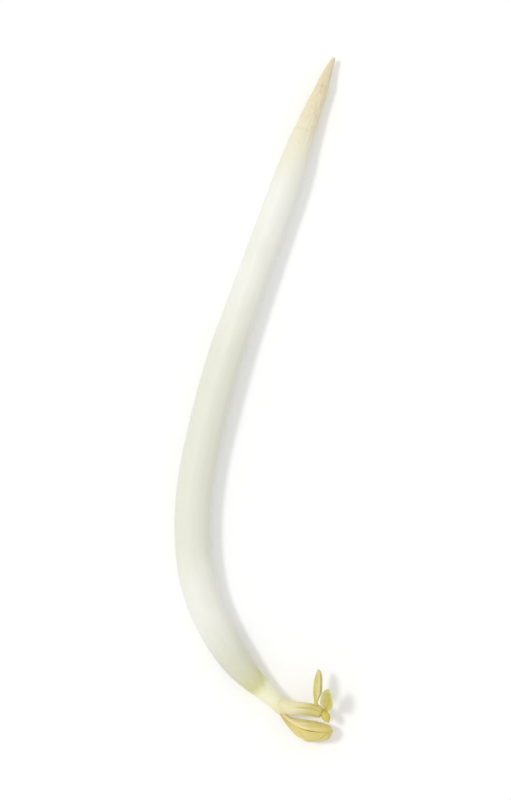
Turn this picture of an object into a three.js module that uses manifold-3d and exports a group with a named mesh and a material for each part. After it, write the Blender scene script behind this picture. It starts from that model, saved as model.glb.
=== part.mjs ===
// A mung bean sprout (Vigna radiata), picked and lying on its side.
//
// Units are millimetres and +Z is up. The sprout lies along Y, with its root towards +Y and its shoot
// towards -Y. The origin is on the surface it lies on, under the middle of its outline.
//
// The main axis is a long thick hypocotyl, the white stem. It tapers into the root at one end and into a
// thin bent neck at the other, which ends in the node. Two shrunken cotyledons, the halves of the bean,
// hang from the node, standing on edge and pressed face to face. The epicotyl, a short second stem, grows
// out beside them. It carries two folded leaves and the nodding terminal bud.
//
// Each organ is one closed solid: the rings of a cylinder or a sphere, carried along the organ's own
// curve. Where two organs join, the younger one is cut back from the older one by a narrow gap.

import * as THREE from "three";
import { mergeVertices } from "three/addons/utils/BufferGeometryUtils.js";
import Module from "manifold-3d";

const { clamp, degToRad, lerp, smoothstep } = THREE.MathUtils;
const point = (x, y, z) => new THREE.Vector3(x, y, z);

// ---- Driving dimensions ----

const GAP = 0.06; // between two organs that touch

const STEM_RADIUS = 1.55; // the hypocotyl at its thickest
const NECK_RADIUS = 0.68; // where the neck meets the node
const NODE_DOME = 0.6; // length of the node's rounded end
const COLLAR = 7.0; // length of the root, from its tip to the hypocotyl
const COLLAR_RADIUS = 0.92;
const ROOT_TIP_RADIUS = 0.26;
const ROOT_TIP_DOME = 0.3;

// The main axis, from the root's tip to the node. "under" is the height of its underside.
const MAIN_AXIS = [
  { x: 6.9, y: 30.1, under: 0.7, radius: ROOT_TIP_RADIUS },
  { x: 5.6, y: 26.8, under: 0.45, radius: 0.62 },
  { x: 4.4, y: 23.9, under: 0.25, radius: COLLAR_RADIUS },
  { x: 2.9, y: 19.6, under: 0.05, radius: 1.27 },
  { x: 0.3, y: 12.3, under: 0.0, radius: 1.39 },
  { x: -3.4, y: 1.4, under: 0.1, radius: STEM_RADIUS - 0.02 },
  { x: -5.5, y: -9.5, under: 0.0, radius: STEM_RADIUS },
  { x: -4.8, y: -16.8, under: 0.05, radius: STEM_RADIUS - 0.04 },
  { x: -1.9, y: -22.4, under: 0.3, radius: 1.36 },
  { x: 1.05, y: -25.5, under: 0.8, radius: NECK_RADIUS + 0.04 },
  { x: 2.45, y: -27.05, under: 0.95, radius: NECK_RADIUS },
];

// These curves are measured from the node. The two halves of the bean meet along the seam.
const SEAM = [[-0.05, -0.3, 0], [0.75, -1.1, -0.15], [2.35, -1.68, -0.25], [4.35, -1.78, -0.2]];
const EPICOTYL = [[-0.25, 0.05, 0], [1.2, 0.27, 0.15], [2.6, 0.12, 0.4], [3.6, -0.2, 0.5]];

// These are measured from the middle of the epicotyl's rounded end.
const LEFT_MIDRIB = [[-0.1, 0.1, 0.05], [-0.38, 1.1, 0.3], [-0.42, 2.2, 0.5], [-0.2, 3.75, 0.45]];
const RIGHT_MIDRIB = [[0.25, -0.05, 0.0], [0.62, 0.5, 0.5], [0.78, 1.25, 1.1], [0.7, 2.15, 1.8]];
const BUD = [[0.05, 0.0, 0.05], [0.45, -0.35, 0.25], [0.85, -0.8, 0.3]];

const COTYLEDON_HALF_WIDTH = 1.35; // of a bean half, which stands on edge
const OUTER_THICKNESS = 1.15; // from the flat face of a bean half to its back
const INNER_THICKNESS = 0.9;
const FACE_HOLLOW = 0.18; // how far the shrunken face is drawn in, as a share of the thickness
const OUTER_STALK = 0.28; // section of a bean half where it leaves the node, as a share of its full section
const INNER_STALK = 0.6;
const STALK_SPAN = 0.6; // the share of the cotyledon's length over which the stalk widens
const BLUNTNESS = 0.45; // of the cotyledon's far end, from 0, a half ellipse, towards 1, cut square
const BACK_FULLNESS = 0.85; // of the cotyledon's back, from 1, a half ellipse, towards 0, flat

const EPICOTYL_RADIUS = 0.56;
const EPICOTYL_DOME = 0.45;

const LEAF_HALF_WIDTH = 0.95; // from the midrib to the margin of the blade
const LEAF_THICKNESS = 0.3;
const LEAF_FOLD = degToRad(50); // between a side of the blade and the plane through its midrib
const FOLD_ROUNDING = 0.17; // how far from the midrib the fold is rounded, as a share of the half width
const LEAF_STALK = 0.3; // width at the leaf's base, as a share of the full width
const WIDEST = 0.45; // where the blade is widest, as a share of its length
const LEAF_POINT = 0.45; // how much narrower than an ellipse the tip is

const BUD_RADIUS = 0.4;

// How finely each organ is faceted: rings along it, and sides round it.
const STEM_FACETS = { rings: 54, sides: 24 };
const ROOT_FACETS = { rings: 22, sides: 20 };
const EPICOTYL_FACETS = { rings: 18, sides: 18 };
const BLADE_FACETS = { rings: 22, sides: 24 };
const BUD_FACETS = { rings: 12, sides: 16 };
const DOME_RINGS = 6; // how many of a stem's rings make its rounded end

// ---- Curves ----

// A smooth curve through the points, read by distance along it. The organ's radius goes with the points,
// one number each, and is blended in the same way.
class OrganAxis {
  constructor(points, radii) {
    this.curve = new THREE.CatmullRomCurve3(points);
    this.curve.arcLengthDivisions = 400;
    this.radii = new THREE.CatmullRomCurve3(radii.map((radius) => point(radius, 0, 0)), false, "catmullrom");
    this.length = this.curve.getLength();
  }

  // Place, direction and radius at a distance from the start. The axis runs on straight past its ends.
  at(distance) {
    const reached = clamp(distance, 0, this.length);
    const t = this.curve.getUtoTmapping(reached / this.length);
    const direction = this.curve.getTangent(t);
    const place = this.curve.getPoint(t).addScaledVector(direction, distance - reached);
    return { place, direction, radius: this.radii.getPoint(t).x };
  }
}

// ---- Solids ----

const wasm = await Module();
wasm.setup();

function toSolid(geometry) {
  const bare = new THREE.BufferGeometry()
    .setIndex(geometry.index)
    .setAttribute("position", geometry.getAttribute("position"));
  const merged = mergeVertices(bare, 1e-4);
  return new wasm.Manifold(
    new wasm.Mesh({
      numProp: 3,
      vertProperties: new Float32Array(merged.getAttribute("position").array),
      triVerts: new Uint32Array(merged.index.array),
    }),
  );
}

function toGeometry(solid) {
  const { numProp, numVert, triVerts, vertProperties } = solid.getMesh();
  const places = new Float32Array(numVert * 3);
  for (let i = 0; i < numVert; i++) {
    places.set(vertProperties.subarray(i * numProp, i * numProp + 3), i * 3);
  }
  const geometry = new THREE.BufferGeometry()
    .setIndex(new THREE.BufferAttribute(new Uint32Array(triVerts), 1))
    .setAttribute("position", new THREE.BufferAttribute(places, 3));
  geometry.computeVertexNormals();
  return geometry;
}

// The organ cut back from its neighbours. A cut can leave crumbs, so only the largest body is kept.
function cutBack(organ, ...neighbours) {
  const left = neighbours.reduce((solid, neighbour) => solid.subtract(neighbour), organ);
  return left.decompose().reduce((a, b) => (a.volume() > b.volume() ? a : b));
}

// Carries the rings of a unit shape along an axis, from its -Y end to its +Y end. section(angle, share,
// radius) gives a point of the cross-section as [across, towards "facing"], and the ring's own size
// scales it. "grow" swells the whole shape, for the larger copies that cut the gaps.
function carryAlong(shape, axis, facing, section, { start = 0, end = axis.length, grow = 0 } = {}) {
  const places = shape.getAttribute("position");
  shape.computeBoundingBox();
  const { min, max } = shape.boundingBox;
  for (let i = 0; i < places.count; i++) {
    const share = (places.getY(i) - min.y) / (max.y - min.y);
    const { place, direction, radius } = axis.at(lerp(start - grow, end + grow, share));
    const forward = facing.clone().addScaledVector(direction, -facing.dot(direction)).normalize();
    const across = direction.clone().cross(forward);
    const angle = Math.atan2(places.getZ(i), places.getX(i));
    const size = Math.hypot(places.getX(i), places.getZ(i));
    const [sideways, outwards] = section(angle, share, radius);
    place.addScaledVector(across, (sideways + grow * Math.cos(angle)) * size);
    place.addScaledVector(forward, (outwards + grow * Math.sin(angle)) * size);
    places.setXYZ(i, place.x, place.y, place.z);
  }
  return toSolid(shape);
}

// ---- Organs ----

const unitSphere = ({ sides, rings }) => new THREE.SphereGeometry(1, sides, rings);
const circle = (angle, share, radius) => [radius * Math.cos(angle), radius * Math.sin(angle)];

// A unit cylinder whose last rings close up into a dome that takes up a share of its length.
function domedCylinder({ sides, rings }, domeShare) {
  const shape = new THREE.CylinderGeometry(1, 1, 1, sides, rings);
  const places = shape.getAttribute("position");
  const straightRings = rings - DOME_RINGS;
  const lastTurn = 0.96 * (Math.PI / 2); // the dome stops just short of closing to a point
  for (let i = 0; i < places.count; i++) {
    const ring = Math.round((places.getY(i) + 0.5) * rings);
    const turn = Math.max(0, (ring - straightRings) / DOME_RINGS) * lastTurn;
    const straight = (ring / straightRings) * (1 - domeShare);
    const rounded = 1 - domeShare * (1 - Math.sin(turn));
    const along = turn > 0 ? rounded : straight;
    places.setXYZ(i, places.getX(i) * Math.cos(turn), along, places.getZ(i) * Math.cos(turn));
  }
  return shape;
}

// A round stem with the radius its axis gives, flat where it starts and rounded where it ends.
function stem(axis, { start, end, dome, facets }, grow = 0) {
  const shape = domedCylinder(facets, (dome + grow) / (end - start + 2 * grow));
  return carryAlong(shape, axis, point(0, 0, 1), circle, { start, end, grow });
}

// Half of the bean, narrowed to a stalk at the node: domed on its back, drawn in on its face. "back" is the
// way the domed side looks.
function cotyledon(axis, back, { thickness, stalk }, grow = 0) {
  const crescent = (angle, share) => {
    const ellipse = Math.sqrt(1.0001 - (2 * share - 1) ** 2);
    const blunt = ellipse ** (-BLUNTNESS * smoothstep(share, 0.5, 1));
    const size = lerp(stalk, 1, smoothstep(share, 0, STALK_SPAN)) * blunt;
    const rise = Math.sin(angle);
    const depth = rise > 0 ? rise ** BACK_FULLNESS : -rise * FACE_HOLLOW;
    return [COTYLEDON_HALF_WIDTH * size * Math.cos(angle), thickness * size * depth];
  };
  return carryAlong(unitSphere(BLADE_FACETS), axis, back, crescent, { grow });
}

// A pointed blade folded along its midrib. "opening" is the way the fold opens.
function leaf(axis, opening, grow = 0) {
  const folded = (angle, share) => {
    const spread = Math.cos(angle); // -1 at one margin, 0 at the midrib, 1 at the other margin
    const rise = Math.sin(angle);
    const widened = lerp(LEAF_STALK, 1, smoothstep(share, 0, WIDEST));
    const halfWidth = LEAF_HALF_WIDTH * widened * (1 - LEAF_POINT * smoothstep(share, WIDEST, 1));
    const fold = Math.hypot(spread, FOLD_ROUNDING) - FOLD_ROUNDING;
    const face = (LEAF_THICKNESS / 2) * Math.sign(rise) * Math.sqrt(Math.abs(rise));
    return [halfWidth * spread * Math.sin(LEAF_FOLD), halfWidth * fold * Math.cos(LEAF_FOLD) + face];
  };
  return carryAlong(unitSphere(BLADE_FACETS), axis, opening, folded, { grow });
}

function bud(axis, grow = 0) {
  return carryAlong(unitSphere(BUD_FACETS), axis, point(0, 0, 1), circle, { grow });
}

// ---- The sprout ----

// An axis through points measured from a place. The radius is left out where the section has its own size.
const axisFrom = (origin, curve, radius = 0) =>
  new OrganAxis(
    curve.map(([x, y, z]) => origin.clone().add(point(x, y, z))),
    curve.map(() => radius),
  );

// The hypocotyl and the root follow the same curve, each from the collar to its own rounded end.
const axisThrough = (stations) =>
  new OrganAxis(
    stations.map(({ x, y, under, radius }) => point(x, y, under + radius)),
    stations.map(({ radius }) => radius),
  );
const shootwards = axisThrough(MAIN_AXIS);
const rootwards = axisThrough([...MAIN_AXIS].reverse());
const hypocotylForm = {
  start: COLLAR,
  end: shootwards.length + NODE_DOME / 2,
  dome: NODE_DOME,
  facets: STEM_FACETS,
};
const rootForm = {
  start: rootwards.length - COLLAR + GAP,
  end: rootwards.length,
  dome: ROOT_TIP_DOME,
  facets: ROOT_FACETS,
};

const node = shootwards.at(shootwards.length).place;
const epicotylAxis = axisFrom(node, EPICOTYL, EPICOTYL_RADIUS);
const epicotylForm = {
  start: 0,
  end: epicotylAxis.length,
  dome: EPICOTYL_DOME,
  facets: EPICOTYL_FACETS,
};
const shootTip = epicotylAxis.at(epicotylAxis.length - EPICOTYL_DOME).place;

const outerSeam = axisFrom(node.clone().add(point(0, -GAP / 2, 0)), SEAM);
const innerSeam = axisFrom(node.clone().add(point(0, GAP / 2, 0)), SEAM);
const outerForm = { thickness: OUTER_THICKNESS, stalk: OUTER_STALK };
const innerForm = { thickness: INNER_THICKNESS, stalk: INNER_STALK };
const outerHalf = (grow) => cotyledon(outerSeam, point(-0.25, -1, 0), outerForm, grow);
const innerHalf = (grow) => cotyledon(innerSeam, point(0.25, 1, 0), innerForm, grow);
const leftLeaf = (grow) => leaf(axisFrom(shootTip, LEFT_MIDRIB), point(1, 0, 0.2), grow);
const rightLeaf = (grow) => leaf(axisFrom(shootTip, RIGHT_MIDRIB), point(-0.45, 0, 1), grow);

const aroundHypocotyl = stem(shootwards, hypocotylForm, GAP);
const aroundEpicotyl = stem(epicotylAxis, epicotylForm, GAP);

const organs = {
  root: stem(rootwards, rootForm),
  hypocotyl: stem(shootwards, hypocotylForm),
  epicotyl: cutBack(stem(epicotylAxis, epicotylForm), aroundHypocotyl),
  cotyledon_outer: cutBack(outerHalf(), aroundHypocotyl, aroundEpicotyl),
  cotyledon_inner: cutBack(innerHalf(), aroundHypocotyl, aroundEpicotyl, outerHalf(GAP)),
  leaf_left: cutBack(leftLeaf(), aroundEpicotyl),
  leaf_right: cutBack(rightLeaf(), aroundEpicotyl, leftLeaf(GAP)),
  terminal_bud: cutBack(
    bud(axisFrom(shootTip, BUD, BUD_RADIUS)),
    aroundEpicotyl,
    leftLeaf(GAP),
    rightLeaf(GAP),
  ),
};

const finishes = {
  root: { color: 0xe4d3b4, roughness: 0.6 },
  hypocotyl: { color: 0xf0f0e4, roughness: 0.35 },
  epicotyl: { color: 0xece5b4, roughness: 0.4 },
  cotyledon_outer: { color: 0xdfcd7c, roughness: 0.55 },
  cotyledon_inner: { color: 0xdac976, roughness: 0.55 },
  leaf_left: { color: 0xe0d482, roughness: 0.5 },
  leaf_right: { color: 0xe0d07a, roughness: 0.5 },
  terminal_bud: { color: 0xdac760, roughness: 0.5 },
};

const sprout = new THREE.Group();
for (const [name, solid] of Object.entries(organs)) {
  const material = new THREE.MeshStandardMaterial({ ...finishes[name], metalness: 0 });
  const mesh = new THREE.Mesh(toGeometry(solid), material);
  mesh.name = name;
  sprout.add(mesh);
}

// Sets the sprout down with the middle of its outline over the origin and its lowest point on the surface.
const outline = new THREE.Box3().setFromObject(sprout);
const middle = outline.getCenter(point(0, 0, 0));
sprout.position.set(-middle.x, -middle.y, -outline.min.z);

const part = new THREE.Group();
part.add(sprout);

export default part;
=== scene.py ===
# A mung bean sprout lying on a white surface.
#
# The organs' places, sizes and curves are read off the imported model. This script gives each organ its
# fine surface and its flesh: the round stem with its faint strands, the tapering root, the two shrunken
# halves of the bean, the second stem, the two folded leaves and the bud.
#
# Lengths are worked out in millimetres and turned into metres when a mesh is made.

import math

import bpy
import numpy as np
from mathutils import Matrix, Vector, noise


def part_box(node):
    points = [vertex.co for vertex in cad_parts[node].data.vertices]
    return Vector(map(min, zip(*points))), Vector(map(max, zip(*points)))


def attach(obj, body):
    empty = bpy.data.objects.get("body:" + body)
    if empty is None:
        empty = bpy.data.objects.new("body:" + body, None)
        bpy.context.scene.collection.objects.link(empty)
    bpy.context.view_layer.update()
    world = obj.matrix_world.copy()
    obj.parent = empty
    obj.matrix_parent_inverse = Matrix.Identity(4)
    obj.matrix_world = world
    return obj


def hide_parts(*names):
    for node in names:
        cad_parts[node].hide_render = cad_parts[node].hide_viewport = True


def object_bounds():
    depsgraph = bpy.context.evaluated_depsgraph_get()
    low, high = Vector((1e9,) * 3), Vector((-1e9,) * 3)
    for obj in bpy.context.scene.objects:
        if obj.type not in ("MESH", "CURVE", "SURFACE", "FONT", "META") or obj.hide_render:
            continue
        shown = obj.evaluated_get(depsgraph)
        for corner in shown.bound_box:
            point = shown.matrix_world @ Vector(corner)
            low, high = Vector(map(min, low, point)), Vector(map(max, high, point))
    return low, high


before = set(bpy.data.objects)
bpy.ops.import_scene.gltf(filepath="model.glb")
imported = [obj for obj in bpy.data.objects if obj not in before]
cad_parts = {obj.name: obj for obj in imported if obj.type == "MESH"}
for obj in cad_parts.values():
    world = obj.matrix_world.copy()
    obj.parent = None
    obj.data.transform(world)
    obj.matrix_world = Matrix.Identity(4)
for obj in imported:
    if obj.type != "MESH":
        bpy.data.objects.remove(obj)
cad_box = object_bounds()

MM = 0.001
UP = np.array([0.0, 0.0, 1.0])
ROOTWARDS = np.array([0.0, 1.0, 0.0])
SHOOTWARDS = np.array([1.0, 0.0, 0.0])  # the way the bean halves and the second stem leave the node


# ---- Numbers along lines and round rings ----

def unit(vectors):
    """The vectors' directions, as vectors of length 1."""
    return vectors / np.linalg.norm(vectors, axis=-1, keepdims=True)


def turned_round(sides):
    """The angles of a ring's points, evenly spaced."""
    return np.arange(sides) / sides * 2 * np.pi


def eased(value, start, end):
    """0 before start, 1 after end, and a smooth slope between."""
    share = np.clip((value - start) / (end - start), 0, 1)
    return share * share * (3 - 2 * share)


def evened(values, spread):
    """The values smoothed along their first axis, over about as many of them as spread says."""
    reach = int(3 * spread)
    kernel = np.exp(-0.5 * (np.arange(-reach, reach + 1) / spread) ** 2)
    kernel /= kernel.sum()
    before = 2 * values[0] - values[reach:0:-1]
    after = 2 * values[-1] - values[-2:-reach - 2:-1]
    padded = np.concatenate([before, values, after])
    flat = padded.reshape(len(padded), -1)
    smooth = np.stack([np.convolve(column, kernel, "valid") for column in flat.T], axis=-1)
    return smooth.reshape(values.shape)


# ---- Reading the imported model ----

def node_mesh(name):
    """A CAD node's corners, in millimetres, and its edges, as pairs of corner numbers."""
    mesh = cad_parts[name].data
    corners = np.array([vertex.co for vertex in mesh.vertices]) / MM
    edges = np.array([edge.vertices for edge in mesh.edges])
    return corners, edges


node_mesh_of = {name: node_mesh(name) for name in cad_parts}


def long_way(name, towards):
    """The direction of a CAD node's greatest length, to the side that towards points to."""
    corners = node_mesh_of[name][0]
    direction = np.linalg.svd(corners - corners.mean(axis=0), full_matrices=False)[2][0]
    return direction * np.sign(direction @ towards)


def cross_section(names, direction, station):
    """The points where a plane square to the direction cuts the edges of CAD nodes."""
    points = []
    for name in names:
        corners, edges = node_mesh_of[name]
        first, second = corners[edges[:, 0]], corners[edges[:, 1]]
        before, after = first @ direction - station, second @ direction - station
        cut = before * after < 0
        share = (before[cut] / (before[cut] - after[cut]))[:, None]
        points.append(first[cut] + share * (second[cut] - first[cut]))
    return np.vstack(points)


def outlines(names, direction, stations, sides):
    """The lines round CAD nodes at stations along a direction: their middles and how far from them the
    surface lies, at even turns from side to top, with those two directions."""
    side = unit(np.cross(direction, UP))
    top = np.cross(side, direction)
    middles, reaches = [], []
    for station in stations:
        points = cross_section(names, direction, station)
        middle = (points.min(axis=0) + points.max(axis=0)) / 2
        offsets = points - middle
        angles = np.arctan2(offsets @ top, offsets @ side)
        order = np.argsort(angles)
        reach = np.linalg.norm(offsets, axis=1)[order]
        middles.append(middle)
        reaches.append(np.interp(turned_round(sides), angles[order], reach, period=2 * np.pi))
    return np.array(middles), np.array(reaches), side, top


def around(middles, reaches, side, top):
    """Rings of points about the middles, at even turns from side to top."""
    turn = turned_round(reaches.shape[1])[:, None]
    outward = np.cos(turn) * side + np.sin(turn) * top
    return middles[:, None] + reaches[..., None] * outward


class Axis:
    """The middle line of a round organ and its radius, by distance along it."""

    STEP = 0.1

    def __init__(self, middles, radii):
        steps = np.linalg.norm(np.diff(middles, axis=0), axis=1)
        self.middles, self.radii = middles, radii
        self.distances = np.concatenate([[0], np.cumsum(steps)])
        self.length = self.distances[-1]

    @classmethod
    def read(cls, names, direction, trim, spread):
        """Reads an axis off CAD nodes, without their two ends, which trim measures. From there the line
        runs on straight. Spread is how far, in millimetres, the CAD model's facets are smoothed."""
        corners = np.vstack([node_mesh_of[name][0] for name in names])
        low = (corners @ direction).min() + trim[0]
        high = (corners @ direction).max() - trim[1]
        rings = around(*outlines(names, direction, np.arange(low, high, cls.STEP), sides=72))
        middles = evened(rings.mean(axis=1), spread / cls.STEP)
        ways = unit(np.gradient(middles, axis=0))
        out = np.cross(rings - middles[:, None], ways[:, None])
        radii = evened(np.linalg.norm(out, axis=-1).mean(axis=1), spread / cls.STEP)
        start = middles[0] - ways[0] * max(0, ((corners - middles[0]) @ -ways[0]).max())
        end = middles[-1] + ways[-1] * max(0, ((corners - middles[-1]) @ ways[-1]).max())
        return cls(np.vstack([start, middles, end]), np.concatenate([radii[:1], radii, radii[-1:]]))

    @classmethod
    def through(cls, points, radii, spread):
        """A smooth axis past rough points, each with its radius."""
        rough = cls(points, radii)
        even = np.arange(0, rough.length, cls.STEP)
        middles = evened(rough.middle(even), spread / cls.STEP)
        return cls(middles, evened(rough.radius(even), spread / cls.STEP))

    def on_line(self, distance):
        """The point on the line between its two ends."""
        return np.stack([np.interp(distance, self.distances, line) for line in self.middles.T], axis=-1)

    def middle(self, distance):
        """The point at a distance, which may lie past an end, on the line's straight continuation."""
        inside = np.clip(distance, 0, self.length)
        return self.on_line(inside) + self.way(inside) * (distance - inside)[..., None]

    def way(self, distance):
        """The direction that the line runs in."""
        inside = np.clip(distance, self.STEP, self.length - self.STEP)
        return unit(self.on_line(inside + self.STEP) - self.on_line(inside - self.STEP))

    def radius(self, distance):
        return np.interp(distance, self.distances, self.radii)

    def distance_at(self, direction, station):
        return np.interp(station, self.middles @ direction, self.distances)


# ---- Surfaces ----

def swell(points, size, seed):
    """Smooth noise, about -1 to 1, at each point. Size is the width of its swings, in millimetres."""
    scaled = points / np.array(size) + seed
    values = [noise.noise(place) for place in scaled.reshape(-1, 3).tolist()]
    return np.array(values).reshape(points.shape[:-1])


def creases(phase, sharpness):
    """Narrow valleys, from 0 on the ridges to 1 at the bottom, one every half turn of the phase."""
    return (1 - np.abs(np.sin(phase))) ** sharpness


def grown_straight(reaches, distances):
    """The grain, which reliefs and finishes follow: where each point of the rings would be if the organ
    had grown straight, across it in x and y, and along it in z."""
    turn = turned_round(reaches.shape[1])
    return np.stack(
        np.broadcast_arrays(reaches * np.cos(turn), reaches * np.sin(turn), distances[:, None]), axis=-1
    )


def round_grain(axis, distances, sides):
    """The grain of a round organ."""
    radii = axis.radius(distances)[:, None]
    return grown_straight(np.repeat(radii, sides, axis=1), distances)


def round_rings(axis, distances, closing, relief):
    """The rings of a round organ. Relief raises each point, and closing scales each ring."""
    turn = turned_round(relief.shape[1])[:, None]
    ways = axis.way(distances)[:, None]
    side = unit(np.cross(ways, UP))
    top = np.cross(side, ways)
    outward = np.cos(turn) * side + np.sin(turn) * top
    heights = (axis.radius(distances)[:, None] + relief) * closing[:, None]
    return axis.middle(distances)[:, None] + outward * heights[..., None]


def ring_distances(start, end, rings, start_dome, end_dome):
    """Places for the rings: even along the organ, and closer together where its ends round off. The
    domes are the lengths of the rounded ends."""
    dome_rings = 14
    quarter = np.sin(np.linspace(0, np.pi / 2, dome_rings, endpoint=False))
    first = start + start_dome * (1 - quarter[::-1])
    last = end - end_dome * (1 - quarter)
    body = np.linspace(first[-1], last[0], rings)[1:-1]
    return np.concatenate([first, body, last])


def domed(distances, start, end, start_dome, end_dome):
    """The share of its width that the rounded ends leave each ring. The last one keeps a trace of it."""
    trace = 0.02
    near_start = np.clip(1 - (distances - start) / start_dome, 0, 1)
    near_end = np.clip(1 - (end - distances) / end_dome, 0, 1)
    return np.sqrt(np.clip(1 - np.maximum(near_start, near_end) ** 2, trace**2, 1))


def ring_faces(count, sides):
    """The faces between neighbouring rings and those from the outer two rings to the two end points."""
    here = np.arange(sides)
    onward = np.roll(here, -1)
    near = (np.arange(count - 1) * sides)[:, None]
    far = near + sides
    sheets = np.stack([near + here, far + here, far + onward, near + onward], axis=-1)
    start, end, last = count * sides, count * sides + 1, (count - 1) * sides
    neighbours = list(zip(here.tolist(), onward.tolist()))
    faces = sheets.reshape(-1, 4).tolist()
    faces += [(start, left, right) for left, right in neighbours]
    faces += [(end, last + right, last + left) for left, right in neighbours]
    return faces


def with_ends(values):
    """The rings' values in one long row, and after them those of the two end points."""
    ends = np.stack([values[0].mean(axis=0), values[-1].mean(axis=0)])
    return np.concatenate([values.reshape(values.shape[0] * values.shape[1], -1), ends.reshape(2, -1)])


def make_piece(name, rings, grain, node, slot, finish, **marks):
    """A closed mesh through rings of points, which stands for a CAD node. The marks are further values
    for its material, one for each point."""
    count, sides = rings.shape[:2]
    mesh = bpy.data.meshes.new(name)
    mesh.from_pydata((with_ends(rings) * MM).tolist(), [], ring_faces(count, sides))
    attribute = mesh.attributes.new("grain", "FLOAT_VECTOR", "POINT")
    attribute.data.foreach_set("vector", with_ends(grain).ravel())
    for mark, values in marks.items():
        attribute = mesh.attributes.new(mark, "FLOAT", "POINT")
        spread_out = np.broadcast_to(values, (count, sides))
        attribute.data.foreach_set("value", with_ends(spread_out).ravel())
    mesh.shade_smooth()
    mesh.materials.append(finish)

    piece = bpy.data.objects.new(name, mesh)
    bpy.context.scene.collection.objects.link(piece)
    # The body that everything rides on is called root too. It isn't the node of the sprout's root.
    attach(piece, "root")
    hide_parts(node)


# ---- The main axis ----

# The line through the stem and the root, from the sprout's node, where the bean halves join the stem, to
# the root's tip. The collar is the place on it where the stem becomes the root.
main_axis = Axis.read(["root", "hypocotyl"], ROOTWARDS, trim=(1.3, 0.35), spread=0.8)
collar_station = (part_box("hypocotyl")[1].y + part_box("root")[0].y) / 2 / MM
collar = main_axis.distance_at(ROOTWARDS, collar_station)

# The root sways a little towards its tip. The whole line then moves by hundredths of a millimetre, so
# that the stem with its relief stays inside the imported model's box and touches the surface.
ROOT_SWAY = 0.22
sway_share = eased(main_axis.distances, collar - 2, main_axis.length)[:, None]
sway = np.stack([swell(main_axis.middles, 2.6, seed) for seed in (101, 103, 107)], axis=-1)
main_axis.middles += ROOT_SWAY * sway_share * sway
main_axis.middles += np.array([0.02, 0.0, -0.015])


# ---- The flesh: effects that several finishes share ----

def add_node(tree, kind, inputs=None, **settings):
    """Adds a shader node. Inputs gives its sockets values or other nodes' outputs, by name or number."""
    made = tree.nodes.new("ShaderNode" + kind)
    for setting, value in settings.items():
        setattr(made, setting, value)
    for socket, value in (inputs or {}).items():
        if isinstance(value, bpy.types.NodeSocket):
            tree.links.new(value, made.inputs[socket])
        else:
            made.inputs[socket].default_value = value
    return made


def calculated(tree, operation, *values):
    """The result of a Math node on numbers or other nodes' outputs."""
    return add_node(tree, "Math", dict(enumerate(values)), operation=operation).outputs[0]


def squeezed(tree, places, shares):
    """The places with each of their three coordinates multiplied by its share."""
    return add_node(tree, "VectorMath", {0: places, 1: shares}, operation="MULTIPLY").outputs[0]


def smooth_share(tree, value, start, end):
    """0 before start, 1 after end, and a smooth slope between."""
    inputs = {"Value": value, "From Min": start, "From Max": end}
    return add_node(tree, "MapRange", inputs, interpolation_type="SMOOTHSTEP").outputs["Result"]


def start_group(name, takes, gives):
    """A shader node group that takes the grain and some numbers, each with its usual value, and gives
    one number. Returns its tree, its inputs by name and its output."""
    tree = bpy.data.node_groups.new(name, "ShaderNodeTree")
    tree.interface.new_socket("Grain", in_out="INPUT", socket_type="NodeSocketVector")
    for socket, value in takes.items():
        made = tree.interface.new_socket(socket, in_out="INPUT", socket_type="NodeSocketFloat")
        made.default_value = value
    tree.interface.new_socket(gives, in_out="OUTPUT", socket_type="NodeSocketFloat")
    inputs = tree.nodes.new("NodeGroupInput").outputs
    return tree, inputs, tree.nodes.new("NodeGroupOutput").inputs[gives]


def lengthwise_strands():
    """Faint strands that run the length of an organ, as a mask or a height."""
    usual = {"Width mm": 0.3, "Length mm": 12.0}
    tree, takes, strands = start_group("lengthwise_strands", usual, "Strands")
    thin = calculated(tree, "DIVIDE", 1.0, takes["Width mm"])
    long = calculated(tree, "DIVIDE", 1.0, takes["Length mm"])
    shares = add_node(tree, "CombineXYZ", {"X": thin, "Y": thin, "Z": long}).outputs[0]
    places = squeezed(tree, takes["Grain"], shares)
    inputs = {"Vector": places, "Scale": 1.0, "Detail": 2.0, "Roughness": 0.5}
    streaks = add_node(tree, "TexNoise", inputs)
    tree.links.new(streaks.outputs["Fac"], strands)
    return tree


def skin_cells():
    """The fine cells of the skin, about three times as long as they are wide, as a height."""
    tree, takes, height = start_group("skin_cells", {"Cell mm": 0.1}, "Height")
    scale = calculated(tree, "DIVIDE", 1.0, takes["Cell mm"])
    places = squeezed(tree, takes["Grain"], (1.0, 1.0, 0.35))
    cells = add_node(tree, "TexVoronoi", {"Vector": places, "Scale": scale}, feature="SMOOTH_F1")
    tree.links.new(calculated(tree, "SUBTRACT", 1.0, cells.outputs["Distance"]), height)
    return tree


def mottling():
    """Soft cloudy patches, as a mask that rises from 0 to 1 between two densities of the clouds."""
    usual = {"Patch mm": 2.0, "Least": 0.4, "Most": 0.6}
    tree, takes, patches = start_group("mottling", usual, "Patches")
    scale = calculated(tree, "DIVIDE", 1.0, takes["Patch mm"])
    clouds = add_node(tree, "TexNoise", {"Vector": takes["Grain"], "Scale": scale, "Detail": 4.0})
    tree.links.new(smooth_share(tree, clouds.outputs["Fac"], takes["Least"], takes["Most"]), patches)
    return tree


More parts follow.
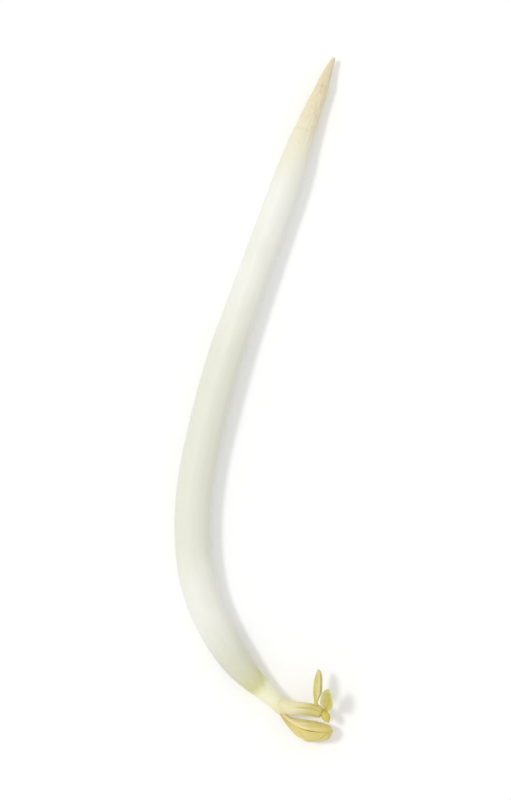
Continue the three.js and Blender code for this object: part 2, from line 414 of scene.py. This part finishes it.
def fade_along():
    """How far a change of colour along the organ has come, with a ragged front, from 0 to 1."""
    usual = {"From mm": 0.0, "To mm": 1.0, "Ragged mm": 0.5}
    tree, takes, share = start_group("fade_along", usual, "Share")
    place = add_node(tree, "SeparateXYZ", {0: takes["Grain"]})
    tongues = squeezed(tree, takes["Grain"], (1.6, 1.6, 0.35))
    clouds = add_node(tree, "TexNoise", {"Vector": tongues, "Scale": 1.0, "Detail": 3.0})
    centred = calculated(tree, "SUBTRACT", clouds.outputs["Fac"], 0.5)
    shift = calculated(tree, "MULTIPLY", centred, takes["Ragged mm"])
    ragged = calculated(tree, "ADD", place.outputs["Z"], shift)
    tree.links.new(smooth_share(tree, ragged, takes["From mm"], takes["To mm"]), share)
    return tree


effects = {make.__name__: make() for make in (lengthwise_strands, skin_cells, mottling, fade_along)}


# ---- The flesh: finishes ----

def tint(*screen_values):
    """A colour given by the screen values of its red, green and blue, 0 to 255."""
    shares = np.array(screen_values) / 255
    linear = np.where(shares <= 0.04045, shares / 12.92, ((shares + 0.055) / 1.055) ** 2.4)
    return (*linear.tolist(), 1.0)


STEM_WHITE = tint(243, 243, 235)
STRAND_GREY = tint(231, 232, 217)
# Painted shade: the greyer colour given to the shaded middle of the stem.
PAINTED_STEM_SHADE = tint(227, 228, 211)
# Partly painted shade: the neck's grey-green tint, made darker as shade.
NECK_GREY_AND_SHADE = tint(217, 218, 196)
NECK_OLIVE = tint(213, 208, 148)
# Partly painted highlight: the neck's pale yellow near the node, brightened as a highlight.
NECK_YELLOW_AND_HIGHLIGHT = tint(244, 243, 208)
NODE_CREAM = tint(238, 230, 184)
COLLAR_CREAM = tint(237, 231, 203)
ROOT_BEIGE = tint(236, 227, 196)
ROOT_BROWN = tint(226, 213, 178)
ROOT_SCAR = tint(202, 176, 132)
SHOOT_YELLOW = tint(239, 232, 192)
SHOOT_OLIVE = tint(209, 196, 118)
BEAN_GOLD = tint(232, 216, 138)
BEAN_OLIVE = tint(213, 203, 126)
BEAN_PALE = tint(240, 228, 172)
BEAN_DEEP = tint(216, 192, 88)
BEAN_BROWN = tint(190, 148, 80)
LEAF_YELLOW = tint(209, 201, 110)
LEAF_PALE = tint(221, 214, 162)
LEAF_DEEP = tint(215, 197, 98)
BUD_YELLOW = tint(213, 195, 74)

FLESH_IOR = 1.4
LIGHT_DEPTH = 0.35  # how far light spreads inside the flesh, in millimetres
LIGHT_DEPTH_BY_COLOUR = (1.0, 0.9, 0.7)


class Finish:
    """One organ's material: a stack of colours over the flesh, and heights for its fine relief."""

    def __init__(self, name, colour, roughness, see_into):
        self.material = bpy.data.materials.new(name)
        self.material.use_nodes = True
        self.tree = self.material.node_tree
        self.shader = self.tree.nodes["Principled BSDF"]
        self.shader.inputs["IOR"].default_value = FLESH_IOR
        self.shader.inputs["Subsurface Weight"].default_value = see_into
        self.shader.inputs["Subsurface Radius"].default_value = LIGHT_DEPTH_BY_COLOUR
        self.shader.inputs["Subsurface Scale"].default_value = LIGHT_DEPTH * MM
        self.shader.inputs["Roughness"].default_value = roughness
        self.grain = add_node(self.tree, "Attribute", attribute_name="grain").outputs["Vector"]
        self.colour = colour

    def effect(self, name, **values):
        """Places one of the shared effects, with values for its inputs. Their names are written with _
        for each space."""
        inputs = {socket.replace("_", " "): value for socket, value in values.items()}
        group = add_node(self.tree, "Group", {"Grain": self.grain, **inputs}, node_tree=effects[name])
        return group.outputs[0]

    def strands(self, width, length):
        return self.effect("lengthwise_strands", Width_mm=width, Length_mm=length)

    def cells(self, size):
        return self.effect("skin_cells", Cell_mm=size)

    def patches(self, size, least, most):
        return self.effect("mottling", Patch_mm=size, Least=least, Most=most)

    def fade(self, start, end, ragged):
        """A mask that comes in between two distances along the organ."""
        return self.effect("fade_along", From_mm=start, To_mm=end, Ragged_mm=ragged)

    def mark(self, name):
        """A value that the mesh holds for each point."""
        return add_node(self.tree, "Attribute", attribute_name=name).outputs["Fac"]

    def within(self, mask, area):
        """A mask, where it lies inside another."""
        return calculated(self.tree, "MULTIPLY", mask, area)

    def layer(self, colour, share, strength=1.0):
        """Lays a colour over what is there, by a mask."""
        amount = calculated(self.tree, "MULTIPLY", share, strength)
        # In a Mix node for colours, inputs 6 and 7 and output 2 are the coloured ones.
        inputs = {0: amount, 6: self.colour, 7: colour}
        self.colour = add_node(self.tree, "Mix", inputs, data_type="RGBA").outputs[2]

    def relief(self, *heights):
        """Adds up heights, each a mask and its depth in millimetres, into the surface's bumps."""
        total = 0.0
        for mask, depth in heights:
            total = calculated(self.tree, "MULTIPLY_ADD", mask, depth * MM, total)
        bump = add_node(self.tree, "Bump", {"Height": total, "Distance": 1.0})
        self.tree.links.new(bump.outputs["Normal"], self.shader.inputs["Normal"])

    def roughen(self, mask, least, most):
        """Makes the roughness follow a mask."""
        spread = add_node(self.tree, "MapRange", {"Value": mask, "To Min": least, "To Max": most})
        self.tree.links.new(spread.outputs["Result"], self.shader.inputs["Roughness"])

    def done(self):
        self.tree.links.new(self.colour, self.shader.inputs["Base Color"])
        return self.material


def main_flesh(name, roughness):
    """The flesh along the main axis, from the pale green neck over the white stem to the beige root,
    with painted shade over the middle of the stem and on the neck, and a painted highlight on the neck
    near the node.
    """
    flesh = Finish(name, STEM_WHITE, roughness, see_into=0.2)
    strands = flesh.strands(width=0.32, length=14.0)
    fine_strands = flesh.strands(width=0.12, length=5.0)
    flesh.layer(STRAND_GREY, flesh.patches(size=4.0, least=0.35, most=0.75), strength=0.5)
    flesh.layer(STRAND_GREY, strands, strength=0.35)

    # Each colour with its strength, the distances from the node between which it comes in, and how
    # ragged its front is.
    for colour, strength, start, end, ragged in (
        # Painted shade: the stem turns greyer over its middle, and the white layer after it ends this
        # band of shade towards the neck.
        (PAINTED_STEM_SHADE, 0.8, collar - 12, collar - 24, 6.0),
        (STEM_WHITE, 0.7, 18.0, 13.0, 5.0),
        # Partly painted shade: the neck's grey-green tint, darkened as shade.
        (NECK_GREY_AND_SHADE, 0.9, 11.0, 6.0, 4.0),
        (NECK_OLIVE, 0.85, 6.0, 3.4, 2.0),
        # Partly painted highlight: pale yellow near the node, made brighter as a highlight.
        (NECK_YELLOW_AND_HIGHLIGHT, 1.0, 3.8, 2.6, 1.2),
        (NODE_CREAM, 1.0, 1.9, 0.8, 1.0),
        (COLLAR_CREAM, 1.0, collar - 6, collar + 1, 3.0),
    ):
        flesh.layer(colour, flesh.fade(start, end, ragged), strength)

    root_skin = flesh.fade(start=collar - 1.5, end=collar + 4, ragged=3.0)
    root_streaks = flesh.strands(width=0.2, length=2.5)
    root_tip = flesh.fade(start=main_axis.length - 4, end=main_axis.length, ragged=2.0)
    root_scars = flesh.patches(size=0.7, least=0.52, most=0.7)
    flesh.layer(ROOT_BEIGE, root_skin)
    flesh.layer(ROOT_BROWN, flesh.within(root_streaks, root_skin), strength=0.9)
    flesh.layer(ROOT_BROWN, root_tip, strength=0.8)
    flesh.layer(ROOT_SCAR, flesh.within(root_scars, root_skin), strength=0.35)
    flesh.relief((strands, 0.03), (fine_strands, 0.015), (flesh.cells(size=0.09), 0.004))
    flesh.roughen(fine_strands, least=roughness - 0.12, most=roughness + 0.12)
    return flesh.done()


def bean_flesh():
    """The shrunken bean halves: gold, clouded with olive, with brown painted shade in the creases, and
    brown at the node.
    """
    flesh = Finish("bean_flesh", BEAN_GOLD, roughness=0.5, see_into=0.25)
    strands = flesh.strands(width=0.16, length=2.0)
    flesh.layer(BEAN_OLIVE, flesh.patches(size=1.3, least=0.35, most=0.7), strength=0.8)
    flesh.layer(BEAN_OLIVE, strands, strength=0.4)
    flesh.layer(BEAN_DEEP, flesh.mark("rim"), strength=0.55)
    # Painted shade: brown in the valleys of the folds.
    flesh.layer(BEAN_BROWN, flesh.mark("crease"), strength=0.35)
    flesh.layer(BEAN_BROWN, flesh.fade(start=1.7, end=0.5, ragged=1.0), strength=0.5)
    flesh.layer(BEAN_PALE, flesh.mark("pale"), strength=0.8)
    flesh.relief((strands, 0.012), (flesh.cells(size=0.07), 0.004))
    flesh.roughen(strands, least=0.4, most=0.6)
    return flesh.done()


def shoot_flesh():
    """The second stem: pale yellow, turning olive towards the leaves, with olive painted shade in its
    grooves.
    """
    flesh = Finish("shoot_flesh", SHOOT_YELLOW, roughness=0.4, see_into=0.3)
    strands = flesh.strands(width=0.14, length=3.0)
    flesh.layer(SHOOT_OLIVE, strands, strength=0.25)
    flesh.layer(SHOOT_OLIVE, flesh.fade(start=2.5, end=4.4, ragged=1.2), strength=0.9)
    # Painted shade: olive in the grooves.
    flesh.layer(SHOOT_OLIVE, flesh.mark("crease"), strength=0.9)
    flesh.relief((strands, 0.008), (flesh.cells(size=0.06), 0.003))
    return flesh.done()


def leaf_flesh():
    """The folded blades: yellow, deeper at the base, and pale along the veins; the margins and tip are
    pale partly in their own colour and partly as a painted highlight.
    """
    flesh = Finish("young_leaf", LEAF_YELLOW, roughness=0.5, see_into=0.2)
    strands = flesh.strands(width=0.1, length=1.2)
    flesh.layer(LEAF_PALE, flesh.patches(size=0.9, least=0.4, most=0.75), strength=0.5)
    # Partly painted highlight: the margins and tip are paler, partly as thin young blades are and partly
    # as a highlight.
    flesh.layer(LEAF_PALE, flesh.mark("margin"), strength=0.85)
    flesh.layer(LEAF_DEEP, flesh.mark("base"), strength=0.9)
    flesh.layer(LEAF_PALE, flesh.mark("vein"), strength=0.5)
    flesh.relief((strands, 0.008), (flesh.cells(size=0.06), 0.004))
    return flesh.done()


def bud_flesh():
    """The bud: deep yellow with pale strands, and brown painted shade in its folds."""
    flesh = Finish("bud_flesh", BUD_YELLOW, roughness=0.45, see_into=0.2)
    strands = flesh.strands(width=0.1, length=0.8)
    flesh.layer(LEAF_PALE, strands, strength=0.35)
    # Painted shade: brown in the folds.
    flesh.layer(BEAN_BROWN, flesh.mark("crease"), strength=0.35)
    flesh.relief((strands, 0.01))
    return flesh.done()


# ---- The stem and the root ----

COLLAR_JOIN = 0.3  # how far the stem and the root each run into the other


def main_relief(grain):
    """The unevenness of the stem and the root, in millimetres. They grew as one, so it is the same for
    both, and they meet without a step."""
    turn = turned_round(grain.shape[1])
    along = grain[..., 2]
    on_line = grain * (0, 0, 1)
    near_neck = 1 - eased(along, 1.5, 7)
    near_root = eased(along, collar - 5, collar + 2)
    strand_height = 0.014 + 0.014 * near_neck + 0.012 * near_root
    dent_depth = 0.012 + 0.015 * near_root
    root_height = 0.045 * near_root
    girth = 0.035 * swell(on_line, 6.0, seed=3)
    oval = 0.03 * np.cos(2 * turn - 3 * swell(on_line, 14.0, seed=8))
    strands = strand_height * swell(grain, (0.42, 0.42, 10.0), seed=11)
    dents = dent_depth * swell(grain, (1.3, 1.3, 2.6), seed=17)
    wrinkles = swell(grain, (0.2, 0.2, 1.6), seed=23) + 0.4 * swell(grain, (0.6, 0.6, 0.2), seed=27)
    scars = eased(swell(grain, (0.4, 0.4, 0.6), seed=29), 0.3, 0.55)
    return girth + oval + strands + dents + root_height * wrinkles + root_height * scars


def stem():
    """The long white stem, from the node to the collar."""
    start, end = 0, collar + COLLAR_JOIN
    distances = ring_distances(start, end, 520, start_dome=0.8, end_dome=0.3)
    closing = domed(distances, start, end, start_dome=0.8, end_dome=0.3)
    grain = round_grain(main_axis, distances, sides=120)
    rings = round_rings(main_axis, distances, closing, main_relief(grain))
    finish = main_flesh("stem_flesh", roughness=0.5)
    make_piece("stem", rings, grain, "hypocotyl", "stem_flesh", finish)


def root():
    """The tapering root, a hair thinner than the stem where it lies inside it."""
    start, end = collar - COLLAR_JOIN, main_axis.length
    distances = ring_distances(start, end, 190, start_dome=0.2, end_dome=0.4)
    closing = domed(distances, start, end, start_dome=0.2, end_dome=0.4)
    inside_stem = 1 - eased(distances, collar, collar + COLLAR_JOIN)
    towards_tip = eased(distances, end - 2.2, end)
    closing *= 1 - 0.005 * inside_stem - 0.35 * towards_tip
    grain = round_grain(main_axis, distances, sides=96)
    rings = round_rings(main_axis, distances, closing, main_relief(grain))
    finish = main_flesh("root_flesh", roughness=0.55)
    make_piece("root_end", rings, grain, "root", "root_skin", finish)


# ---- The second stem and the bud ----

def second_stem_axis():
    """The line of the second stem, which bends out of the main stem's end, inside which it starts."""
    shoot = Axis.read(["epicotyl"], SHOOTWARDS, trim=(0.9, 0.5), spread=0.25)
    inside = np.array([2.3, 2.0, 1.7, 1.4, 1.1])
    outside = np.arange(0.85, shoot.length, Axis.STEP)
    points = np.vstack([main_axis.middle(inside), shoot.middle(outside)])
    swollen_foot = shoot.radius(outside) + 0.1 * (1 - eased(outside, 0.5, 1.9))
    radii = np.concatenate([main_axis.radius(inside) * 0.94, swollen_foot])
    return Axis.through(points, radii, spread=0.36)


def second_stem():
    """The short stem between the node and the leaves, grooved where their stalks run into it."""
    axis = second_stem_axis()
    start, end = 0, axis.length
    distances = ring_distances(start, end, 170, start_dome=0.3, end_dome=0.45)
    closing = domed(distances, start, end, start_dome=0.3, end_dome=0.45)
    grain = round_grain(axis, distances, sides=80)
    turn = turned_round(grain.shape[1])
    along = grain[..., 2]
    grooved = eased(along, end - 3.0, end - 1.6) * (1 - eased(along, end - 0.4, end))
    grooves = creases(1.5 * turn + 0.5 * swell(grain, 1.2, seed=5) + 0.4, sharpness=5) * grooved
    ribs = swell(grain, (0.22, 0.22, 3.5), seed=31)
    lumps = swell(grain, (0.8, 0.8, 1.3), seed=37)
    rings = round_rings(axis, distances, closing, 0.022 * ribs + 0.035 * lumps - 0.16 * grooves)
    make_piece("second_stem", rings, grain, "epicotyl", "shoot_flesh", shoot_flesh(), crease=grooves)


def bud():
    """The next leaves, still wrapped round each other, tapering to a tip."""
    outward = long_way("terminal_bud", SHOOTWARDS)
    axis = Axis.read(["terminal_bud"], outward, trim=(0.25, 0.25), spread=0.1)
    axis.radii[:] = axis.radii.max()
    start, widest, end = -0.15, 0.4, axis.length + 0.05
    distances = ring_distances(start, end, 60, start_dome=0.2, end_dome=0.1)
    before = np.clip((widest - distances) / (widest - start), 0, 1)
    after = np.clip((distances - widest) / (end - widest), 0, 1)
    # A little more than 1, less each power, leaves the last ring at either end a trace of its width.
    closing = np.sqrt(1.0004 - before**2) * (1.001 - after**1.8) ** 0.8
    grain = round_grain(axis, distances, sides=60)
    turn = turned_round(grain.shape[1])
    along = grain[..., 2]
    folds = creases(turn + 0.9 * along, sharpness=7) * eased(along, 0.05, 0.4)
    rings = round_rings(axis, distances, closing, 0.02 * swell(grain, 0.3, seed=41) - 0.08 * folds)
    make_piece("bud", rings, grain, "terminal_bud", "bud", bud_flesh(), crease=folds)


# ---- The two halves of the bean ----

BEAN_SIDES = 144
SEAM_SHIFT = 0.1  # how far each half moves to the seam, over the hollow that the CAD model has there
FOLD_DEPTH = 0.12
ROUNDED_END = 0.55

# Stations along the halves, from their stalks inside the stem's end to where their bodies begin.
node_end = main_axis.middle(np.array([0.0]))[0][0]
stalk_start = node_end - 0.8
body_start = node_end + 0.25


def bean_body(node, end, seam_turn):
    """A bean half past its stalk, with the CAD model's edges softened: its stations, middles and
    reaches, and the directions of its side and its top."""
    rings, last_station = 110, end - 0.015
    shares = np.sin(np.linspace(0, np.pi / 2, rings))
    stations = body_start + (last_station - body_start) * shares
    middles, reaches, side, top = outlines([node], SHOOTWARDS, stations, BEAN_SIDES)
    middles[:, 1] -= SEAM_SHIFT * np.cos(seam_turn)
    kept_waves = 34  # about how many waves round a ring are left, and finer ones fade
    softness = np.exp(-((np.arange(BEAN_SIDES // 2 + 1) / kept_waves) ** 2))
    softened = np.fft.irfft(np.fft.rfft(reaches, axis=1) * softness, BEAN_SIDES, axis=1)
    return stations, evened(middles, 4), evened(softened, 4), side, top


def bean_stalk(body_middles, body_reaches):
    """The stalk's stations, middles and reaches. It starts out thin in the middle of the stem's end and
    bends into the line of the body."""
    length = body_start - stalk_start
    stations = np.linspace(stalk_start, body_start, 24, endpoint=False)
    share = (stations - stalk_start) / length
    origin = np.array([stalk_start, *main_axis.middle(np.array([0.5]))[0][1:]])
    span = body_middles[0] - origin
    onward = body_middles[6] - body_middles[0]
    bend = onward / onward[0] * length - span
    middles = origin + share[:, None] * span + (share**2 * (share - 1))[:, None] * bend
    middles[:, 0] = stations
    thin = 0.3 + 0.04 * np.cos(turned_round(BEAN_SIDES))
    widening = eased(share, 0.1, 1.15)[:, None] / eased(1, 0.1, 1.15)
    return stations, middles, thin + widening * (body_reaches[0] - thin)


def bean_half(name, node, finish, seam_turn, paleness, seed):
    """One shrunken half: lengthwise folds on its back, a flat face on the seam, and a stalk from the
    node. Seam turn is the angle round it at which the other half lies."""
    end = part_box(node)[1].x / MM
    body, body_middles, body_reaches, side, top = bean_body(node, end, seam_turn)
    stalk, stalk_middles, stalk_reaches = bean_stalk(body_middles, body_reaches)
    stations = np.concatenate([stalk, body])
    middles = evened(np.vstack([stalk_middles, body_middles]), 3)
    reaches = evened(np.vstack([stalk_reaches, body_reaches]), 3)

    grain = grown_straight(reaches, stations - stalk_start)
    turn = turned_round(BEAN_SIDES)
    past_node = eased(stations, node_end - 0.1, node_end + 1.1)
    folded = (past_node * (1 - 0.6 * eased(stations, end - 0.7, end)))[:, None]
    away_from_seam = eased(-np.cos(turn - seam_turn), -0.75, 0.1)
    patchy = eased(swell(grain, (0.9, 0.9, 1.6), seed + 2), -0.45, 0.3)
    phase = 4 * turn + 2.4 * swell(grain, (1.1, 1.1, 2.0), seed)
    folds = creases(phase, sharpness=4) * folded * away_from_seam * (0.35 + 0.65 * patchy)
    wrinkles = swell(grain, (0.2, 0.2, 0.9), seed + 9)
    lumps = swell(grain, 0.8, seed + 5)
    uneven = 0.035 * wrinkles + 0.07 * lumps - 0.02
    reaches = reaches + 0.02 + folded * away_from_seam * uneven - FOLD_DEPTH * folds

    # The far end rounds off towards the seam, so that the two halves still meet there.
    closing = np.sqrt(1 - 0.97 * np.clip(1 - (end - stations) / ROUNDED_END, 0, 1) ** 2)
    seam_reach = reaches[:, int(round(seam_turn / (2 * np.pi) * BEAN_SIDES))]
    middles = middles + ((1 - closing) * seam_reach)[:, None] * (np.cos(seam_turn) * side)
    rings = around(middles, reaches * closing[:, None], side, top)

    make_piece(
        name, rings, grain, node, "bean_flesh", finish,
        crease=folds,
        pale=paleness * (1 - eased(stations, node_end + 0.8, node_end + 3.5))[:, None],
        rim=eased(np.cos(turn - seam_turn), -0.1, 0.6),
    )


# ---- The leaves ----

HALF_BLADE = 0.055
STALK_SWELL = 0.13
VEIN_HEIGHT = 0.035
VEIN_WIDTH = 0.07
MIDVEIN_WIDTH = 0.09
CAMBER = 0.22  # how far each arm of the blade bows outward, as a share of its width
WAVE = 0.05  # how far its margin waves, as such a share
FOLD_ROUNDING = 0.02
DROOP = 0.12  # how far the tip hangs below the line of the CAD model


def leaf_lines(node, way, opening):
    """What a folded blade's CAD node says: the curves through its midrib, the directions of its two
    arms, the width of an arm where it is widest, and its length."""
    across = np.cross(way, opening)
    heights = node_mesh_of[node][0] @ way
    low, high = heights.min(), heights.max()
    shares = np.linspace(0.06, 0.94, 45)
    midrib, margins = [], []
    for station in low + (high - low) * shares:
        points = cross_section([node], way, station)
        midrib.append(points[(points @ opening).argmin()])
        margins.append([points[(points @ across).argmin()], points[(points @ across).argmax()]])
    midrib = np.array(midrib)
    arms = np.array(margins) - midrib[:, None]
    curves = [np.polyfit(shares, line, 4) for line in midrib.T]
    middle_arms = arms[10:35]
    widest = np.linalg.norm(arms, axis=-1).mean(axis=1).max()
    return curves, unit(middle_arms.mean(axis=0)), widest, high - low


def leaf_veins(along, spread, width, length):
    """The midvein and six pairs of side veins, from 0 between them to 1 on the midvein."""
    side_veins = 0
    for pair in range(6):
        branch = 0.16 + 0.12 * pair + 0.17 * np.abs(spread) ** 0.9
        vein = np.exp(-(((along - branch) * length) / VEIN_WIDTH) ** 2) * (1 - np.abs(spread) ** 4)
        side_veins = np.maximum(side_veins, vein)
    midvein = np.exp(-((spread * width) / MIDVEIN_WIDTH) ** 2)
    return np.maximum(0.6 * side_veins, midvein) * eased(along, 0.08, 0.2)


def leaf_middle(curves, arm_ways, way, opening, along, spread, width, seed):
    """The sheet midway between the blade's two faces. The midrib droops a little towards the tip. The
    arms part from it over a rounded fold, and each bows outward and waves at its margin."""
    line = np.stack([np.polyval(curve, along) for curve in curves], axis=-1)
    line -= DROOP * (along**2)[..., None] * UP
    arm = np.where(spread[..., None] < 0, arm_ways[0], arm_ways[1])
    away = np.sqrt(spread**2 + FOLD_ROUNDING) - np.sqrt(FOLD_ROUNDING)
    ripples = np.stack(np.broadcast_arrays(spread * 2, along * 6, along * 0), axis=-1)
    wave = WAVE * swell(ripples, 1.0, seed)
    camber = CAMBER * (np.abs(spread) - spread**2)
    bowed = width * (camber + wave * np.abs(spread))
    outward = unit(np.cross(arm, way))
    outward = outward * np.sign(-(outward @ opening))[..., None]
    return line + 0.05 * opening + (width * away)[..., None] * arm + bowed[..., None] * outward


def leaf_faces(middle, opening, along, spread, veins):
    """The blade's outer and inner face, and how far the outer one lies from the sheet between them. The
    stalk is thick, and the margins and the tip are thin. The veins stand out on the outer face and lie
    sunk in the inner one."""
    rows, columns = middle.shape[:2]
    normal = unit(np.cross(np.gradient(middle, axis=0), np.gradient(middle, axis=1)))
    normal = normal * np.sign(-(normal @ opening)[rows // 2, columns // 2])
    stalked = 1 - eased(along, 0.03, 0.2)
    thinned = (1 - 0.75 * np.abs(spread) ** 6) * (1 - 0.85 * eased(along, 0.8, 1.0))
    outer_reach = (HALF_BLADE + STALK_SWELL * stalked) * thinned
    inner_reach = (HALF_BLADE - 0.03 * stalked) * thinned
    outer = middle + normal * (outer_reach + VEIN_HEIGHT * veins)[..., None]
    inner = middle - normal * (inner_reach - 0.02 * veins)[..., None]
    return outer, inner, outer_reach


def leaf(name, node, finish, opening, breadth, point, seed):
    """A thin blade folded along its midrib, on a short stalk. Opening is the way that the fold faces.
    Breadth scales the width, and the smaller point is, the blunter the tip."""
    way = long_way(node, ROOTWARDS)
    opening = unit(np.array(opening) - (np.array(opening) @ way) * way)
    curves, arm_ways, widest, length = leaf_lines(node, way, opening)

    # Along runs from the stalk, 0, to the tip, 1, and spread from one margin, -1, to the other, 1.
    rows, columns = 150, 41
    along = np.linspace(0, 1, rows)[:, None]
    spread = np.linspace(-1, 1, columns)[None, :]
    towards_tip = np.clip((along - 0.4) / 0.6, 0, 1)
    narrowed = (1.0005 - towards_tip**2.4) ** point
    width = breadth * widest * (0.14 + 0.86 * eased(along, 0.0, 0.42)) * narrowed
    middle = leaf_middle(curves, arm_ways, way, opening, along, spread, width, seed)
    veins = leaf_veins(along, spread, width, length)
    outer, inner, outer_reach = leaf_faces(middle, opening, along, spread, veins)

    def both(values):
        """The values of the outer face and, the other way round, of the inner one."""
        values = np.broadcast_to(values, (rows, columns))
        return np.concatenate([values, values[:, ::-1]], axis=1)

    make_piece(
        name,
        np.concatenate([outer, inner[:, ::-1]], axis=1),
        np.stack([both(spread * width), both(outer_reach), both(along * length)], axis=-1),
        node, "young_leaf", finish,
        vein=both(veins),
        # The margins and tip, which the finish makes paler, partly as a painted highlight.
        margin=both(np.maximum(eased(np.abs(spread), 0.55, 1.0), eased(along, 0.7, 1.0))),
        base=both(1 - eased(along, 0.05, 0.35)),
    )


stem()
root()
second_stem()
bud()
bean_finish = bean_flesh()
bean_half("outer_bean_half", "cotyledon_outer", bean_finish, seam_turn=np.pi, paleness=0.15, seed=51)
bean_half("inner_bean_half", "cotyledon_inner", bean_finish, seam_turn=0, paleness=1.0, seed=63)
leaf_finish = leaf_flesh()
leaf("left_leaf", "leaf_left", leaf_finish, opening=(1, 0, 0.2), breadth=1.05, point=0.6, seed=71)
leaf("right_leaf", "leaf_right", leaf_finish, opening=(-0.45, 0, 1), breadth=1.0, point=0.55, seed=83)


# ---- The surface, the light and the camera, in metres ----

WHITE = (1, 1, 1, 1)


def seen_directly(tree):
    """1 where the camera, a reflection or clear matter looks straight at a thing, and 0 elsewhere."""
    rays = add_node(tree, "LightPath").outputs
    seen = rays["Is Camera Ray"]
    for ray in ("Is Glossy Ray", "Is Transmission Ray"):
        seen = calculated(tree, "MAXIMUM", seen, rays[ray])
    return seen


def white_surface():
    """The plain white surface under the sprout, which shows its shadow."""
    half_width = 2.0
    glow = 0.1  # lifts it to plain white where it is seen directly
    material = bpy.data.materials.new("white_surface")
    material.use_nodes = True
    tree = material.node_tree
    shader = tree.nodes["Principled BSDF"]
    shader.inputs["Base Color"].default_value = (0.93, 0.93, 0.93, 1)
    shader.inputs["Roughness"].default_value = 1.0
    shader.inputs["Specular IOR Level"].default_value = 0.0
    shader.inputs["Emission Color"].default_value = WHITE
    shown = calculated(tree, "MULTIPLY", seen_directly(tree), glow)
    tree.links.new(shown, shader.inputs["Emission Strength"])

    mesh = bpy.data.meshes.new("surface")
    signs = ((-1, -1), (1, -1), (1, 1), (-1, 1))
    corners = [(half_width * across, half_width * along, 0) for across, along in signs]
    mesh.from_pydata(corners, [], [(0, 1, 2, 3)])
    mesh.materials.append(material)
    floor = bpy.data.objects.new("surface", mesh)
    bpy.context.scene.collection.objects.link(floor)


def light_all_round():
    """Even white light from the whole sky, which shows as plain white behind the sprout."""
    light_given, white_shown = 0.745, 1.0
    world = bpy.data.worlds.new("studio")
    world.use_nodes = True
    tree = world.node_tree
    sky = tree.nodes["Background"]
    inputs = {"Value": seen_directly(tree), "To Min": light_given, "To Max": white_shown}
    strength = add_node(tree, "MapRange", inputs)
    sky.inputs["Color"].default_value = WHITE
    tree.links.new(strength.outputs["Result"], sky.inputs["Strength"])
    bpy.context.scene.world = world


def window_light():
    """One soft light from the upper left, which throws the shadow to the right."""
    direction = Vector((0.47, -0.17, -0.87))
    light = bpy.data.lights.new("window", "SUN")
    light.angle = math.radians(10)
    light.energy = 0.9
    lamp = bpy.data.objects.new("window", light)
    lamp.rotation_euler = direction.to_track_quat("-Z", "Y").to_euler()
    bpy.context.scene.collection.objects.link(lamp)


def camera_above():
    """A long lens straight above the middle of the sprout, which fills most of the picture's height."""
    filled_share = 0.86
    low, high = cad_box
    camera = bpy.data.cameras.new("camera")
    camera.lens = 150
    camera.sensor_width = 36  # along the picture's longer side, its height
    seen_height = (high.y - low.y) / filled_share
    distance = seen_height / 2 / (camera.sensor_width / 2 / camera.lens)
    holder = bpy.data.objects.new("camera", camera)
    holder.location = ((low.x + high.x) / 2, (low.y + high.y) / 2, high.z / 2 + distance)
    bpy.context.scene.collection.objects.link(holder)
    bpy.context.scene.camera = holder


white_surface()
light_all_round()
window_light()
camera_above()
bpy.context.scene.view_settings.view_transform = "Standard"
